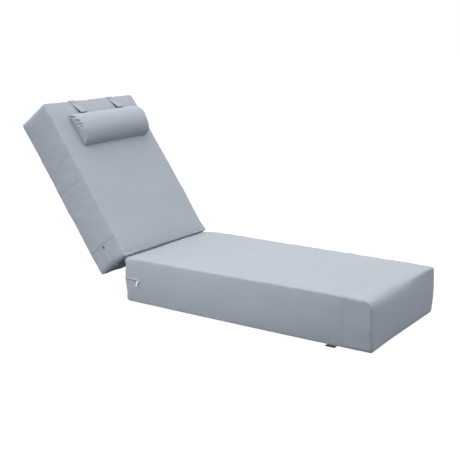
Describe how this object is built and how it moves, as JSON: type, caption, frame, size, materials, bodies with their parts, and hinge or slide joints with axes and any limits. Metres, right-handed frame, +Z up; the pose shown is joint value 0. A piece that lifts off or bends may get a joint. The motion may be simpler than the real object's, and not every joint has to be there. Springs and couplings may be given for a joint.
{
  "type": "sun lounger cushion",
  "caption": "Boxed foam mattress for a sun lounger: a flat seat, a raised back joined along a crease, and a D-section head pillow on straps.",
  "frame": {"origin": "centre of the seat cushion's flat underside, on the surface it lies on", "axes": "+X towards the foot end, +Z up, -Y towards the side where the zips end"},
  "size_m": [1.8056, 0.6084, 0.8588],
  "materials": {
    "cover": "matte woven outdoor cloth, pale blue grey",
    "zip_pull": "white, slightly glossy",
    "dark_slider": "dark grey, satin",
    "webbing": "black ribbed webbing"
  },
  "bodies": {
    "root": {"seat_cushion": "cover", "back_cushion": "cover", "hinge_strip": "cover", "head_pillow": "cover", "strap_left": "cover", "strap_right": "cover", "seat_zip_flap": "cover", "back_zip_flap": "cover", "seat_zip_slider": "zip_pull", "seat_zip_pull": "zip_pull", "back_zip_slider": "dark_slider", "fixing_tab": "webbing"}
  },
  "joints": []
}
